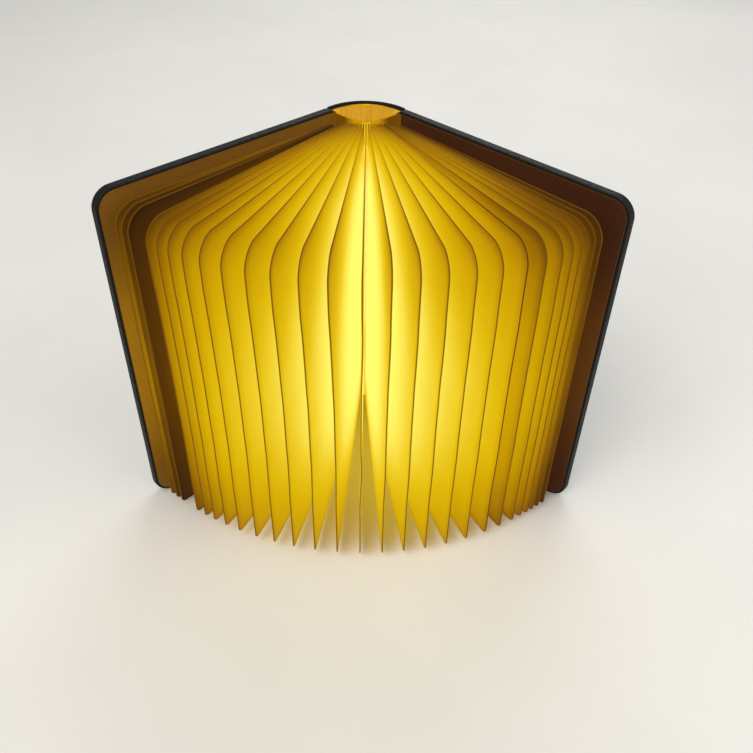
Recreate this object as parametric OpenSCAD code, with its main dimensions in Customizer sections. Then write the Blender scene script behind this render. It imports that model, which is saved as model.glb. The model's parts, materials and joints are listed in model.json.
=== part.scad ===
// Folding book lamp: a hardback cover that opens on a fan of paper leaves
// around an upright light bar. Millimetres, +Z up, the lamp stands on its
// lower edges. The origin is the foot of the spine board, the leaves point
// to -Y, and the middle leaf lies in the plane X = 0.

/* [Cover] */
// Height of the cover, and of the whole lamp
cover_h = 122; // [110:1:150]
// Width of each cover, from its spine edge to its fore edge
cover_w = 88.5; // [86.5:0.5:95]
// Thickness of the leather skin around each cover
skin_t = 0.5; // [0.4:0.05:0.6]
// Thickness of the grey board inside each cover
board_t = 2.5; // [2.3:0.1:2.6]
// Radius of the two corners at the fore edge
fore_r = 6.5; // [4:0.5:12]
// Radius of the two corners at the spine edge
spine_corner_r = 1.5; // [1.2:0.1:3]
// Width of leather turned in along each edge, seen around the endpaper
turn_in = 0.8; // [0.8:0.1:8]
// Thickness of the leather at the edges of the board
edge_t = 0.6; // [0.4:0.05:1]
// Gap at the edges of the board and of the endpaper
edge_gap = 0.1; // [0.05:0.05:0.3]

/* [Opening] */
// Angle from the middle leaf to each cover as the lamp stands
rest_open = 46; // [45:0.5:60]
// Angle of each cover from the middle leaf when it is opened right round
full_open = 180; // [150:1:180]
// Gap between the two covers' outer faces when they lie back to back
back_gap = 0.2; // [0.1:0.1:1]
// Gap between the last leaf and the cover, lamp shut
cover_gap = 0.74; // [0.5:0.02:1]
// Spine edge of each cover in front of its bending line, lamp shut
shut_edge_y = 3.3; // [3.2:0.1:4]

/* [Leaves] */
// Thickness of one folded leaf
leaf_t = 0.4; // [0.3:0.05:0.42]
// Spacing of the leaves when the lamp is shut
leaf_pitch = 0.62; // [0.6:0.01:0.64]
// Setting back of the leaves' fore edges from the covers' fore edges, lamp shut
fore_set = 2; // [0.5:0.1:5]
// Gap below the leaves
leaf_foot = 2; // [2:0.5:6]
// Gap above the leaves
leaf_head = 3; // [2:0.5:6]
// Radius of a leaf's outer corner at the top
leaf_r = 7.5; // [4:0.5:14]
// Radius of a leaf's outer corner at the foot
leaf_foot_r = 2; // [1:0.5:14]
// Height of the light bar's foot above the covers' foot
bar_foot = 3; // [2:0.5:6]
// Gap between the light bar and the leaf roots, lamp shut
root_gap = 0.8; // [0.8:0.05:0.95]
// Radius of the ring that the roots spread on when the lamp is opened right round
root_ring_r = 7.5; // [7.4:0.1:7.7]
// Sideways shift of that ring's centre for a leaf at the angle below
root_spread = 4.2; // [4.1:0.1:4.5]
// Leaf angle, as the lamp stands, at which the ring's centre is shifted in full
spread_at = 43.3; // [42:0.1:44.5]
// Angles of the left leaves from the middle leaf as the lamp stands, inner leaf first
fan_left = [4.7, 9.3, 13.8, 18, 22.1, 26, 29.3, 32.1, 34.4, 36.6, 41.2, 42.6, 44];
// Angles of the right leaves from the middle leaf as the lamp stands, inner leaf first
fan_right = [4.6, 9.1, 13.6, 18.2, 22.7, 27.2, 30.8, 34.1, 36.2, 37.8, 39.2, 40.6, 42];

/* [Spine] */
// Thickness of the leather strip behind the spine
strip_t = 1; // [0.6:0.1:1.2]
// Bulge of the strip behind the line between the two covers
strip_bulge = 5.95; // [5:0.05:7]
// Gap between the strip and each cover's spine edge
strip_gap = 0.3; // [0.2:0.05:0.6]
// Thickness of the paper lining inside the strip
lining_t = 0.3; // [0.2:0.05:0.5]
// Gap between the strip and its lining
lining_gap = 0.3; // [0.1:0.05:0.4]
// Lining left out below the top and above the foot of the strip
lining_set = 0.8; // [0.5:0.1:6]
// Width of the spine board
spine_w = 17; // [14:0.5:17]
// Thickness of the spine board
spine_t = 1.6; // [1.2:0.1:1.6]
// Top of the spine board and of the light bar, below the top of the cover
core_drop = 12; // [10:0.5:20]
// Thickness of the tape that ties the spine board to the lining
tape_t = 0.6; // [0.4:0.1:1]
// Tape left out above the foot of the light bar
tape_foot = 19; // [18.5:0.5:25]
// Tape left out below the top of the light bar
tape_head = 10; // [8:0.5:20]

/* [Light bar] */
// Gap between the charging socket and the tray's side walls
socket_room = 0.53; // [0.3:0.01:0.55]
// Depth of the tray, from the spine board to the diffuser
tray_d = 4.2; // [4:0.1:4.2]
// Thickness of the tray's back
tray_back = 0.8; // [0.7:0.05:0.9]
// Thickness of the tray's side walls
tray_wall = 1; // [0.8:0.1:1]
// How far the round diffuser stands out from the tray
diffuser_bow = 3; // [2.6:0.1:3.1]
// Wall of the diffuser
diffuser_wall = 1; // [0.8:0.1:1.1]
// Thickness of the caps at the two ends of the bar
cap_t = 1.5; // [1.2:0.1:2]
// Depth of the top cap's lip inside the tray
lip_d = 1; // [0.6:0.1:1.2]
// Gap around the lip
lip_gap = 0.15; // [0.1:0.05:0.3]

/* [Electronics] */
// Thickness of both circuit boards
pcb_t = 0.8; // [0.6:0.1:0.8]
// Gap beside both circuit boards
pcb_gap = 0.2; // [0.1:0.05:0.4]
// Top of the charging board above the foot of the bar
charge_pcb_top = 9; // [9:0.1:9.5]
// Room for the battery leads between the charging board and the lower screw boss
lead_room = 2.6; // [2:0.1:3]
// Thickness of the battery cell
cell_t = 3.6; // [3:0.1:3.8]
// Height of the battery cell
cell_h = 24; // [20:1:26]
// Gap between the battery cell and the leads that pass it
cell_side = 0.4; // [0.2:0.05:0.8]
// Gap between the battery and the light board
cell_gap = 2; // [1:0.1:4]
// Gap between the light board and the upper screw boss
light_pcb_gap = 1.1; // [0.5:0.1:2]
// Number of light chips in each row, bottom to top
led_rows = 9; // [6:1:9]
// Light chip, width, thickness and height
led_size = [3.5, 0.8, 2.8];
// Sideways distance of the light chips from the middle
led_x = 2.6; // [2.6:0.05:2.9]
// Distance of the first and last chips' centres from the board's ends
led_margin = 3; // [2:0.1:4]
// Lid sensor, width, thickness and height
sensor = [1.5, 1.1, 1.6];
// Distance of the lid sensor's foot from the top of the light board
sensor_drop = 3.5; // [3:0.1:6]
// Charging chip, width, thickness and height
chip = [2.6, 0.9, 1.1];
// Charge lamp, width, thickness and height
charge_led = [1.6, 0.6, 0.8];
// Gap between the socket and the chip and lamp above it
chip_gap = 0.2; // [0.1:0.05:0.4]
// Sideways place of the charging chip
chip_x = -0.7; // [-0.8:0.05:-0.6]
// Sideways place of the charge lamp
charge_led_x = 1.6; // [1.5:0.05:1.8]
// Diameter of the leads
lead_d = 0.8; // [0.6:0.1:0.9]
// Length of each lead that lies on its board
lead_lap = 0.5; // [0.4:0.05:0.6]
// Gap between the light leads and the edges of the boards
lead_gap = 0.1; // [0.05:0.05:0.2]

/* [Charging socket] */
// Width of the socket's metal shell
socket_w = 8.94; // [8.9:0.02:9]
// Thickness of the socket's metal shell, outside
socket_d = 3.16; // [3.1:0.02:3.2]
// Length of the socket
socket_l = 7.3; // [6.5:0.1:7.5]
// Wall of the shell
socket_wall = 0.3; // [0.25:0.05:0.35]
// Depth of the plug's way in
socket_depth = 6; // [5:0.1:6.2]
// Width of the tongue
tongue_w = 6.7; // [6.4:0.1:6.9]
// Thickness of the tongue
tongue_t = 0.7; // [0.6:0.05:0.8]
// Setting back of the tongue's tip from the mouth
tongue_set = 1; // [0.5:0.1:1.5]
// Gap between the shell and the plastic core
core_gap = 0.01; // [0.01:0.01:0.05]
// Gap between the socket and the hole in the foot cap
socket_gap = 0.15; // [0.1:0.05:0.25]

/* [Fasteners and magnets] */
// Radius of the screws' shanks
screw_r = 0.7; // [0.6:0.05:0.8]
// Length of the screws below the head
screw_l = 4.6; // [4:0.1:4.8]
// Radius of the screws' heads
screw_head_r = 1.5; // [1.3:0.1:1.8]
// Height of the screws' heads
screw_head_h = 0.8; // [0.6:0.1:0.9]
// Length, width and depth of the slots in the heads
screw_slot = [1.8, 0.5, 0.4];
// Gap around the shanks in the spine board
screw_clear = 0.1; // [0.05:0.05:0.2]
// Gap around the shanks in the bosses
screw_bite = 0.05; // [0.02:0.01:0.1]
// Radius of the screw bosses
boss_r = 1.9; // [1.7:0.1:2]
// Depth of the screw bosses inside the tray
boss_d = 2.6; // [2.4:0.1:2.8]
// Gap between a screw boss and the battery or the top cap's lip
boss_gap = 0.6; // [0.4:0.1:1]
// Radius of the magnets that hold the covers back to back
magnet_r = 5; // [4:0.5:6]
// Thickness of the magnets
magnet_t = 1.6; // [1.2:0.1:1.7]
// Gap around each magnet in its pocket
magnet_gap = 0.1; // [0.05:0.05:0.2]
// Distance of the magnets from the fore edge
magnet_in = 11; // [9:0.5:20]
// Distance of the top and bottom magnets from the ends of the cover
magnet_end = 16; // [12:1:30]
// Radius of the small magnet that works the lid sensor
key_magnet_r = 2.5; // [2:0.25:3]
// Distance of that magnet from the spine edge of the right cover
key_magnet_in = 6; // [5:0.5:9]

/* [Hidden] */
$fn = 64;
// how far a cut runs past the faces that it opens
over = 1;
// smallest radius of a round corner inside another
tight_r = 0.3;

// light bar and spine board, across the spine
bar_back = -spine_t / 2;
bar_front = bar_back - tray_d;
bar_w = socket_w + 2 * (socket_room + tray_wall);
diffuser_r = (bar_w * bar_w / 4 + diffuser_bow * diffuser_bow) / (2 * diffuser_bow);
diffuser_cy = bar_front - diffuser_bow + diffuser_r;
tray_in = bar_back - tray_back;
pcb_front = tray_in - pcb_t;
pcb_w = bar_w - 2 * tray_wall - 2 * pcb_gap;
cell_w = pcb_w - 2 * (lead_gap + lead_d + cell_side);
socket_y = pcb_front - socket_d / 2;

// leaves and covers, lamp shut
half_leaf = leaf_t / 2;
root_y = root_gap + diffuser_bow - bar_front;
leaf_l = cover_w + shut_edge_y - root_y - fore_set;
leaf_top = cover_h - leaf_head;
shut_inner_x = len(fan_left) * leaf_pitch + half_leaf + cover_gap;
shut_outer_x = shut_inner_x + 2 * skin_t + board_t;
hinge_x = (shut_outer_x + back_gap / 2) / 2;

// the strip's arc through the two covers' outer corners as the lamp stands
function turned(p, a) = [p[0] * cos(a) - p[1] * sin(a), p[0] * sin(a) + p[1] * cos(a)];
kink = [hinge_x, 0] + turned([shut_outer_x - hinge_x, -shut_edge_y], rest_open);
strip_r = (kink[0] * kink[0] + strip_bulge * strip_bulge) / (2 * strip_bulge);
strip_cy = kink[1] + strip_bulge - strip_r;
strip_half = asin(kink[0] / strip_r) - strip_gap * 180 / (PI * strip_r);
lining_r = strip_r - strip_t - lining_gap;

// light bar and what it holds, from the foot of the bar upwards
bar_top = cover_h - core_drop;
bar_h = bar_top - bar_foot;
screw_low = charge_pcb_top + lead_room + boss_r;
cell_foot = screw_low + boss_r + boss_gap;
light_pcb_foot = cell_foot + cell_h + cell_gap;
screw_high = bar_h - cap_t - lip_d - boss_gap - boss_r;
light_pcb_h = screw_high - boss_r - light_pcb_gap - light_pcb_foot;
led_pitch = (light_pcb_h - 2 * led_margin) / (led_rows - 1);
key_z = cover_h - magnet_end;

leather = [0.06, 0.055, 0.055];
brown = [0.26, 0.13, 0.05];
paper = [0.95, 0.78, 0.18];
milky = [1, 0.9, 0.45];
greyboard = [0.5, 0.46, 0.4];
black = [0.1, 0.1, 0.1];
steel = [0.75, 0.75, 0.77];

// Outline of an upright sheet: u runs from the spine to the fore edge, v upwards.
// Its fore corners, with a radius for the top and one for the foot, and its two spine
// corners are round.
module sheet2d(u0, u1, v0, v1, r_fore, r_foot, r_spine) {
    difference() {
        translate([u0, v0]) square([u1 - u0, v1 - v0]);
        corner2d(u1, v1, r_fore, -1, -1);
        corner2d(u1, v0, r_foot, -1, 1);
        if (r_spine > 0) {
            corner2d(u0, v1, r_spine, 1, -1);
            corner2d(u0, v0, r_spine, 1, 1);
        }
    }
}

// What a round corner takes off the square corner at u, v
module corner2d(u, v, r, su, sv) {
    difference() {
        translate([su > 0 ? u - over : u - r, sv > 0 ? v - over : v - r])
            square([r + over, r + over]);
        translate([u + su * r, v + sv * r]) circle(r);
    }
}

// Stands an outline up between x0 and x1, with u pointing to -Y from y
module upright(x0, x1, y) {
    translate([x1, y, 0])
        rotate([90, 0, -90])
            linear_extrude(x1 - x0) children();
}

// One layer of the shut right cover, set in from the cover's edges
module layer(x0, x1, inset) {
    upright(x0, x1, -shut_edge_y)
        sheet2d(inset, cover_w - inset, inset, cover_h - inset,
            fore_r - inset, fore_r - inset, max(spine_corner_r - inset, tight_r));
}

// Turns a piece of the shut right cover out to where the cover stands
module opened() {
    translate([hinge_x, 0, 0])
        rotate([0, 0, rest_open])
            translate([-hinge_x, 0, 0]) children();
}

// A disc in the shut right cover: how far in from the spine edge, height, radius
// and thickness, under the skin of the outer face
module disc(u, z, r, t) {
    translate([shut_outer_x - skin_t - t, -shut_edge_y - u, z])
        rotate([0, 90, 0]) cylinder(h = t, r = r);
}

module disc_row(r, t) {
    for (z = [magnet_end, cover_h / 2, cover_h - magnet_end])
        disc(cover_w - magnet_in, z, r, t);
}

module cover_skin() {
    difference() {
        layer(shut_inner_x, shut_outer_x, 0);
        layer(shut_inner_x + skin_t, shut_outer_x - skin_t, edge_t);
        layer(shut_inner_x - over, shut_inner_x + skin_t + over, turn_in);
    }
}

module cover_board(with_key) {
    difference() {
        layer(shut_inner_x + skin_t, shut_outer_x - skin_t, edge_t + edge_gap);
        translate([magnet_gap, 0, 0]) disc_row(magnet_r + magnet_gap, magnet_t + magnet_gap);
        if (with_key)
            translate([magnet_gap, 0, 0])
                disc(key_magnet_in, key_z, key_magnet_r + magnet_gap, magnet_t + magnet_gap);
    }
}

module endpaper() {
    layer(shut_inner_x, shut_inner_x + skin_t, turn_in + edge_gap);
}

// Where a leaf's root lies when the lamp is opened right round; a is the leaf's
// own angle there
function ring_root(a) = [
    root_spread * a / (spread_at * full_open / rest_open) + root_ring_r * sin(a),
    root_ring_r - root_y - root_ring_r * cos(a)];

// The upright line that carries a leaf's root from its shut place to its place on
// the ring while the leaf turns through a
function leaf_axis(shut, ring, a) = [
    (shut[0] + ring[0]) / 2 - (ring[1] - shut[1]) / (2 * tan(a / 2)),
    (shut[1] + ring[1]) / 2 + (ring[0] - shut[0]) / (2 * tan(a / 2))];

// Leaf n of the right half, counted from the middle, standing at its fan angle
module leaf(n, fan) {
    a = fan * full_open / rest_open;
    p = leaf_axis([n * leaf_pitch, -root_y], ring_root(a), a);
    translate([p[0], p[1], 0])
        rotate([0, 0, fan])
            translate([-p[0], -p[1], 0])
                upright(n * leaf_pitch - half_leaf, n * leaf_pitch + half_leaf, -root_y)
                    sheet2d(0, leaf_l, leaf_foot, leaf_top, leaf_r, leaf_foot_r, 0);
}

module leaf_right(n) {
    color(paper) leaf(n, fan_right[n - 1]);
}

module leaf_left(n) {
    color(paper) mirror([1, 0, 0]) leaf(n, fan_left[n - 1]);
}

module leaf_centre() {
    color(paper)
        upright(-half_leaf, half_leaf, -root_y)
            sheet2d(0, leaf_l, leaf_foot, leaf_top, leaf_r, leaf_foot_r, 0);
}

// Ring sector behind the spine, open towards -Y
module arc2d(r, t, half) {
    difference() {
        circle(r);
        circle(r - t);
        polygon([[0, 0], 2 * r * [sin(half), cos(half)], 2 * r * [1, 0],
            2 * r * [1, -1], 2 * r * [-1, -1], 2 * r * [-1, 0],
            2 * r * [-sin(half), cos(half)]]);
    }
}

module spine_strip() {
    color(leather)
        translate([0, strip_cy, 0])
            linear_extrude(cover_h) arc2d(strip_r, strip_t, strip_half, $fn = 180);
}

module spine_lining() {
    color(paper) {
        translate([0, strip_cy, lining_set])
            linear_extrude(cover_h - 2 * lining_set)
                arc2d(lining_r, lining_t, strip_half, $fn = 180);
        translate([-tape_t / 2, spine_t / 2, bar_foot + tape_foot])
            cube([tape_t, strip_cy + lining_r - lining_t / 2 - spine_t / 2,
                bar_h - tape_foot - tape_head]);
    }
}

// A hole or shank along Y behind the spine board, at each screw's height
module along_y(y0, y1, r) {
    for (z = [screw_low, screw_high])
        translate([0, y1, bar_foot + z])
            rotate([90, 0, 0]) cylinder(h = y1 - y0, r = r);
}

module spine_board() {
    color(black)
        difference() {
            translate([-spine_w / 2, -spine_t / 2, 0]) cube([spine_w, spine_t, bar_top]);
            along_y(-spine_t / 2 - over, spine_t / 2 + over, screw_r + screw_clear);
        }
}

module bar_screws() {
    color(steel) {
        along_y(spine_t / 2 - screw_l, spine_t / 2, screw_r);
        difference() {
            along_y(spine_t / 2, spine_t / 2 + screw_head_h, screw_head_r);
            for (z = [screw_low, screw_high])
                translate([0, spine_t / 2 + screw_head_h, bar_foot + z])
                    rotate([0, 45, 0])
                        cube([screw_slot[0], 2 * screw_slot[2], screw_slot[1]], center = true);
        }
    }
}

module bar_tray() {
    z0 = bar_foot + cap_t;
    z1 = bar_top - cap_t;
    color(milky)
        difference() {
            union() {
                difference() {
                    translate([-bar_w / 2, bar_front, z0]) cube([bar_w, tray_d, z1 - z0]);
                    translate([tray_wall - bar_w / 2, bar_front - over, z0 - over])
                        cube([bar_w - 2 * tray_wall, tray_d - tray_back + over, z1 - z0 + 2 * over]);
                }
                along_y(tray_in - boss_d, tray_in + tray_back / 2, boss_r);
            }
            along_y(tray_in - boss_d - over, bar_back + over, screw_r + screw_bite);
        }
}

// The D of the light bar's front, from the tray's front edge
module bow2d(r) {
    difference() {
        translate([0, diffuser_cy]) circle(r, $fn = 180);
        translate([-2 * r, bar_front]) square([4 * r, 4 * r]);
    }
}

module bar_diffuser() {
    color(milky)
        translate([0, 0, bar_foot + cap_t])
            linear_extrude(bar_top - bar_foot - 2 * cap_t)
                difference() {
                    bow2d(diffuser_r);
                    bow2d(diffuser_r - diffuser_wall);
                }
}

module cap2d() {
    bow2d(diffuser_r);
    translate([-bar_w / 2, bar_front]) square([bar_w, tray_d]);
}

module bar_top_cap() {
    w = bar_w - 2 * tray_wall - 2 * lip_gap;
    color(milky) {
        translate([0, 0, bar_top - cap_t]) linear_extrude(cap_t) cap2d();
        translate([-w / 2, bar_front + lip_gap, bar_top - cap_t - lip_d])
            cube([w, tray_d - tray_back - 2 * lip_gap, lip_d]);
    }
}

// Round-ended slot across X
module slot2d(w, d) {
    square([w - d, d], center = true);
    for (s = [-1, 1]) translate([s * (w - d) / 2, 0]) circle(d / 2);
}

module bar_foot_cap() {
    color(milky)
        translate([0, 0, bar_foot])
            linear_extrude(cap_t)
                difference() {
                    cap2d();
                    translate([0, socket_y])
                        slot2d(socket_w + 2 * socket_gap, socket_d + 2 * socket_gap);
                }
}

// A plate on the tray's back, between two heights above the foot of the bar
module pcb(z0, h) {
    translate([-pcb_w / 2, pcb_front, bar_foot + z0]) cube([pcb_w, pcb_t, h]);
}

// A block on the front of a board, centred on x, with its foot at z above the bar's
module on_board(x, z, size) {
    translate([x - size[0] / 2, pcb_front - size[1], bar_foot + z]) cube(size);
}

module light_board() {
    color("white") pcb(light_pcb_foot, light_pcb_h);
}

module light_chips() {
    color(milky)
        for (i = [0 : led_rows - 1], s = [-1, 1])
            on_board(s * led_x, light_pcb_foot + led_margin + i * led_pitch - led_size[2] / 2,
                led_size);
}

module lid_sensor() {
    color(black) on_board(0, light_pcb_foot + light_pcb_h - sensor_drop, sensor);
}

module light_leads() {
    z0 = charge_pcb_top - lead_lap;
    x = pcb_w / 2 - lead_d / 2 - lead_gap;
    color("white")
        for (s = [-1, 1])
            translate([s * x, pcb_front - lead_d / 2, bar_foot + z0])
                cylinder(h = light_pcb_foot + lead_lap - z0, r = lead_d / 2);
}

module battery_cell() {
    color("silver")
        translate([-cell_w / 2, tray_in - cell_t, bar_foot + cell_foot])
            cube([cell_w, cell_t, cell_h]);
}

module battery_leads() {
    z0 = charge_pcb_top - lead_lap;
    color("firebrick")
        for (s = [-1, 1])
            translate([s * (boss_r + lead_d), pcb_front - lead_d / 2, bar_foot + z0])
                cylinder(h = cell_foot - z0, r = lead_d / 2);
}

module charge_board() {
    color("darkgreen") pcb(cap_t, charge_pcb_top - cap_t);
}

module charge_chip() {
    color(black) on_board(chip_x, socket_l + chip_gap, chip);
}

module charge_lamp() {
    color("red") on_board(charge_led_x, socket_l + chip_gap, charge_led);
}

module socket_shell() {
    color(steel)
        translate([0, socket_y, bar_foot])
            difference() {
                linear_extrude(socket_l) slot2d(socket_w, socket_d);
                translate([0, 0, -over])
                    linear_extrude(socket_l + 2 * over)
                        slot2d(socket_w - 2 * socket_wall, socket_d - 2 * socket_wall);
            }
}

module socket_core() {
    color(black)
        translate([0, socket_y, bar_foot]) {
            translate([0, 0, socket_depth])
                linear_extrude(socket_l - socket_depth)
                    slot2d(socket_w - 2 * socket_wall - 2 * core_gap,
                        socket_d - 2 * socket_wall - 2 * core_gap);
            translate([-tongue_w / 2, -tongue_t / 2, tongue_set])
                cube([tongue_w, tongue_t, socket_l - tongue_set]);
        }
}

module right_cover_board() {
    color(greyboard) opened() cover_board(true);
}

module right_cover_skin() {
    color(leather) opened() cover_skin();
}

module right_endpaper() {
    color(brown) opened() endpaper();
}

module right_magnets() {
    color(steel) opened() disc_row(magnet_r, magnet_t);
}

module sensor_magnet() {
    color(steel) opened() disc(key_magnet_in, key_z, key_magnet_r, magnet_t);
}

module left_cover_board() {
    color(greyboard) mirror([1, 0, 0]) opened() cover_board(false);
}

module left_cover_skin() {
    color(leather) mirror([1, 0, 0]) opened() cover_skin();
}

module left_endpaper() {
    color(brown) mirror([1, 0, 0]) opened() endpaper();
}

module left_magnets() {
    color(steel) mirror([1, 0, 0]) opened() disc_row(magnet_r, magnet_t);
}

module leaf_left_01() { leaf_left(1); }
module leaf_left_02() { leaf_left(2); }
module leaf_left_03() { leaf_left(3); }
module leaf_left_04() { leaf_left(4); }
module leaf_left_05() { leaf_left(5); }
module leaf_left_06() { leaf_left(6); }
module leaf_left_07() { leaf_left(7); }
module leaf_left_08() { leaf_left(8); }
module leaf_left_09() { leaf_left(9); }
module leaf_left_10() { leaf_left(10); }
module leaf_left_11() { leaf_left(11); }
module leaf_left_12() { leaf_left(12); }
module leaf_left_13() { leaf_left(13); }
module leaf_right_01() { leaf_right(1); }
module leaf_right_02() { leaf_right(2); }
module leaf_right_03() { leaf_right(3); }
module leaf_right_04() { leaf_right(4); }
module leaf_right_05() { leaf_right(5); }
module leaf_right_06() { leaf_right(6); }
module leaf_right_07() { leaf_right(7); }
module leaf_right_08() { leaf_right(8); }
module leaf_right_09() { leaf_right(9); }
module leaf_right_10() { leaf_right(10); }
module leaf_right_11() { leaf_right(11); }
module leaf_right_12() { leaf_right(12); }
module leaf_right_13() { leaf_right(13); }

spine_strip();
spine_lining();
spine_board();
bar_tray();
bar_diffuser();
bar_top_cap();
bar_foot_cap();
bar_screws();
light_board();
light_chips();
lid_sensor();
light_leads();
battery_cell();
battery_leads();
charge_board();
charge_chip();
charge_lamp();
socket_shell();
socket_core();
left_cover_board();
left_cover_skin();
left_endpaper();
left_magnets();
right_cover_board();
right_cover_skin();
right_endpaper();
right_magnets();
sensor_magnet();
leaf_centre();
leaf_left_01();
leaf_left_02();
leaf_left_03();
leaf_left_04();
leaf_left_05();
leaf_left_06();
leaf_left_07();
leaf_left_08();
leaf_left_09();
leaf_left_10();
leaf_left_11();
leaf_left_12();
leaf_left_13();
leaf_right_01();
leaf_right_02();
leaf_right_03();
leaf_right_04();
leaf_right_05();
leaf_right_06();
leaf_right_07();
leaf_right_08();
leaf_right_09();
leaf_right_10();
leaf_right_11();
leaf_right_12();
leaf_right_13();
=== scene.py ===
import json
import math
import bmesh
import bpy
import numpy as np
from mathutils import Euler, Matrix, Vector


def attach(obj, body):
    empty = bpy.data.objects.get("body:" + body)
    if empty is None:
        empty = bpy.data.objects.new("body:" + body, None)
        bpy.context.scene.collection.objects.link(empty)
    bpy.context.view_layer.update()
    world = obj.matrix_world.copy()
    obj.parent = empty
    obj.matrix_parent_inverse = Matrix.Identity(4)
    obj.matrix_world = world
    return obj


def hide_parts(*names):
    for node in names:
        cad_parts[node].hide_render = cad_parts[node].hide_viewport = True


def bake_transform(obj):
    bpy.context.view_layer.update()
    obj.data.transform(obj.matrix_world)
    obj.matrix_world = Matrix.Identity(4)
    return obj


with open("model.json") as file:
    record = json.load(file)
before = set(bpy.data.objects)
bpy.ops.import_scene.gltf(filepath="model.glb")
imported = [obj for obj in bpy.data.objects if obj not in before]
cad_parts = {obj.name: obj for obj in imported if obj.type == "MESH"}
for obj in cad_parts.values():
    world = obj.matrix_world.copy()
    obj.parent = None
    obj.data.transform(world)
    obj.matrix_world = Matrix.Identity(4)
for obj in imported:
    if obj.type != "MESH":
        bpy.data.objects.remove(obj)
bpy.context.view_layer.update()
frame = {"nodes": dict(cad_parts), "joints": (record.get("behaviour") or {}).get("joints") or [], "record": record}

mm = 0.001
meshValues = {"weld": 1e-6, "sharpAngle": 38}              # in metres, and in degrees


def linear(red, green, blue):
    # a screen colour 0..255 as scene light: ((c / 255 + 0.055) / 1.055) ** 2.4
    c = np.array([red, green, blue], float) / 255
    c = np.where(c > 0.04045, ((c + 0.055) / 1.055) ** 2.4, c / 12.92)
    return tuple(float(v) for v in c) + (1.0,)


def addNode(tree, kind, settings=None, inputs=None, output=0):
    # adds one node: its settings first, then the values or links of its sockets
    node = tree.nodes.new(kind)
    for key, value in (settings or {}).items():
        if key == "stops":
            ramp = node.color_ramp
            while len(ramp.elements) < len(value):
                ramp.elements.new(0.5)
            for element, (place, colour) in zip(ramp.elements, value):
                element.position, element.color = place, colour
        else:
            setattr(node, key, value)
    pairs = inputs.items() if isinstance(inputs, dict) else enumerate(inputs or [])
    for key, value in pairs:
        if value is None:
            continue
        if isinstance(value, Wire):
            tree.links.new(value.socket, node.inputs[key])
        else:
            node.inputs[key].default_value = value
    return Wire(tree, node.outputs[output])


class Wire:  # one output socket, so that a node sum reads as arithmetic
    def __init__(self, tree, socket):
        self.tree, self.socket = tree, socket

    def maths(self, operation, *values, clamp=False):
        return addNode(self.tree, "ShaderNodeMath", {"operation": operation, "use_clamp": clamp}, values)

    def __add__(self, other):
        return self.maths("ADD", self, other)

    def __radd__(self, other):
        return self.maths("ADD", other, self)

    def __sub__(self, other):
        return self.maths("SUBTRACT", self, other)

    def __rsub__(self, other):
        return self.maths("SUBTRACT", other, self)

    def __mul__(self, other):
        return self.maths("MULTIPLY", self, other)

    def __truediv__(self, other):
        return self.maths("DIVIDE", self, other)

    def __abs__(self):
        return self.maths("ABSOLUTE", self)

    def most(self, other):
        return self.maths("MAXIMUM", self, other)

    def least(self, other):
        return self.maths("MINIMUM", self, other)

    def root(self):
        return self.maths("SQRT", self)

    def cosine(self):
        return self.maths("COSINE", self)

    def clamped(self):
        return self.maths("ADD", self, 0.0, clamp=True)

    def ramp(self, stops):
        # the colour at this value between stops of (place, colour)
        return addNode(self.tree, "ShaderNodeValToRGB", {"stops": stops}, [self])

    def between(self, low, high):
        # t^2 (3 - 2 t), t = (this value - low) / (high - low) held to 0..1
        return addNode(self.tree, "ShaderNodeMapRange", {"interpolation_type": "SMOOTHSTEP"},
                       [self, low, high, 0.0, 1.0])


class Paint:  # one material: a Principled shader and the sockets that feed it
    def __init__(self, name, rough=0.5, gloss=0.5, metallic=0.0):
        self.material = bpy.data.materials.new(name)
        self.material.use_nodes = True
        self.tree = self.material.node_tree
        self.shader = self.tree.nodes["Principled BSDF"]
        for key, value in (("Roughness", rough), ("Specular IOR Level", gloss), ("Metallic", metallic)):
            self.shader.inputs[key].default_value = value
        self.place = self.node("ShaderNodeTexCoord", output=3)    # the object's own place, in metres

    def node(self, kind, settings=None, inputs=None, output=0):
        return addNode(self.tree, kind, settings, inputs, output)

    def attribute(self, name):
        return self.node("ShaderNodeAttribute", {"attribute_name": name}, output=2)

    def axes(self):
        cut = self.node("ShaderNodeSeparateXYZ", inputs=[self.place])
        return [Wire(self.tree, s) for s in cut.socket.node.outputs]

    def join(self, x, y, z):
        return self.node("ShaderNodeCombineXYZ", inputs=[x, y, z])

    def stretched(self, scale, vector=None):
        return self.node("ShaderNodeMapping", inputs={"Vector": vector or self.place, "Scale": scale})

    def noise(self, scale, detail=3.0, rough=0.5, vector=None, distortion=0.0):
        # cloudy noise 0..1; scale: turns to the metre, or to the unit of the vector that is given
        return self.node("ShaderNodeTexNoise", inputs={
            "Vector": vector or self.place, "Scale": scale, "Detail": detail,
            "Roughness": rough, "Distortion": distortion})

    def cells(self, scale):
        # soft distance from the nearest of many scattered points
        return self.node("ShaderNodeTexVoronoi", {"feature": "SMOOTH_F1"},
                         {"Vector": self.place, "Scale": scale})

    def mix(self, share, first, second, way="MIX"):
        return self.node("ShaderNodeMix", {"data_type": "RGBA", "blend_type": way},
                         {0: share, 6: first, 7: second}, output=2)

    def feed(self, socket, value):
        self.tree.links.new(value.socket, self.shader.inputs[socket])

    def bump(self, height, strength, distance):
        # height 0..1 is a part of distance, in metres
        self.feed("Normal", self.node("ShaderNodeBump", inputs={
            "Height": height, "Strength": strength, "Distance": distance}))


def shineThrough(paint, share, colour):
    # part of the colour shines by itself, the rest is ordinary paper
    paint.feed("Base Color", paint.mix(1.0, colour, (1 - share,) * 3 + (1.0,), "MULTIPLY"))
    paint.feed("Emission Color", colour)
    paint.shader.inputs["Emission Strength"].default_value = share


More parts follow.
